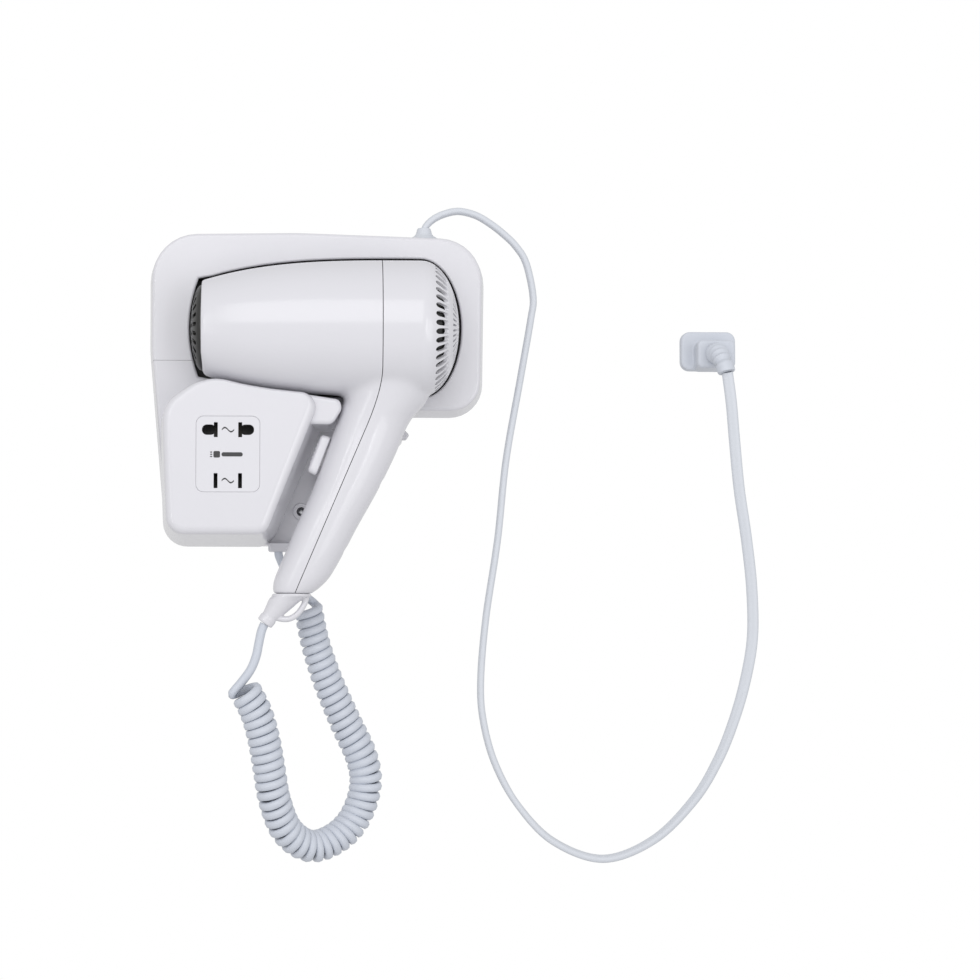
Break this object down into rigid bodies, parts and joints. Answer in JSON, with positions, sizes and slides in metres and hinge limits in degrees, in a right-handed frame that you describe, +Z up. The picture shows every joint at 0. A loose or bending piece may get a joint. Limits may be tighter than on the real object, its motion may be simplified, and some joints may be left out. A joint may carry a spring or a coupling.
{
  "type": "hair dryer",
  "caption": "Wall-mounted hair dryer: pistol handset docked in a white holder with a two-row shaver socket, curly cord to the handle and a mains cord with a flat two-pin plug.",
  "frame": {"origin": "on the wall plane, on the back plate's rear face, near the middle of the holder", "axes": "+Z up, +Y into the wall, so the user stands at -Y and +X is to the user's right"},
  "size_m": [0.3238, 0.081, 0.353],
  "materials": {
    "gloss_white": "glossy moulded ABS with a faint cool tint",
    "cord_white": "satin bluish-white PVC",
    "black_plastic": "satin black",
    "grey_plastic": "matt moulded",
    "mica": "flaky mica board",
    "steel": "bright plated",
    "brass": "bright",
    "copper_wire": "enamelled copper wire",
    "heater_wire": "oxidised resistance wire",
    "circuit_board": "solder-masked board"
  },
  "bodies": {
    "holder": {"upper_cover": "gloss_white", "lower_cover": "gloss_white", "cradle_liner": "black_plastic", "back_plate": "grey_plastic", "socket_face": "gloss_white", "socket_block": "black_plastic", "socket_contact_1": "brass", "socket_contact_2": "brass", "socket_contact_3": "brass", "socket_contact_4": "brass", "transformer_core": "steel", "transformer_winding": "copper_wire", "hook_switch_body": "black_plastic", "terminal_block": "grey_plastic", "mains_gland": "gloss_white", "curly_gland": "gloss_white", "cover_screw_1": "steel", "mains_cord": "cord_white", "curly_coil": "cord_white", "curly_lead_holder": "cord_white", "plug_body": "cord_white", "plug_pin_1": "brass", "plug_pin_2": "brass", "plug_boot": "cord_white"},
    "handset": {"front_shell": "gloss_white", "rear_shell": "gloss_white", "handset_screw_1": "steel", "handset_screw_2": "steel", "outlet_grille": "black_plastic", "heater_former": "mica", "heater_coil": "heater_wire", "mica_sleeve": "mica", "thermostat": "steel", "fan_guide": "grey_plastic", "motor_can": "steel", "motor_end_cap": "black_plastic", "intake_screen": "black_plastic", "rectifier_board": "circuit_board", "cord_clamp": "grey_plastic", "speed_switch_body": "black_plastic", "handle_boot": "gloss_white", "curly_lead_handset": "cord_white"},
    "fan": {"motor_shaft": "steel", "fan_impeller": "grey_plastic"},
    "slider": {"speed_knob": "gloss_white"},
    "plunger": {"hook_plunger": "black_plastic"}
  },
  "joints": [
    {"name": "handset_lift", "type": "slide", "parent": "holder", "child": "handset", "axis": [0.0546, -0.9903, 0.128], "range_m": [0, 0.055]},
    {"name": "fan_spin", "type": "hinge", "parent": "handset", "child": "fan", "pos_m": [0.02, -0.045, 0.0292], "axis": [1, 0, 0], "continuous": true},
    {"name": "speed_slider", "type": "slide", "parent": "handset", "child": "slider", "axis": [-0.3173, 0, -0.9483], "range_m": [0, 0.008]},
    {"name": "hook_plunger", "type": "slide", "parent": "holder", "child": "plunger", "axis": [0, 0, 1], "range_m": [0, 0.003]}
  ],
  "couplings": [
    {"joint": "hook_plunger", "follows": "handset_lift", "ratio": 0.0545}
  ]
}
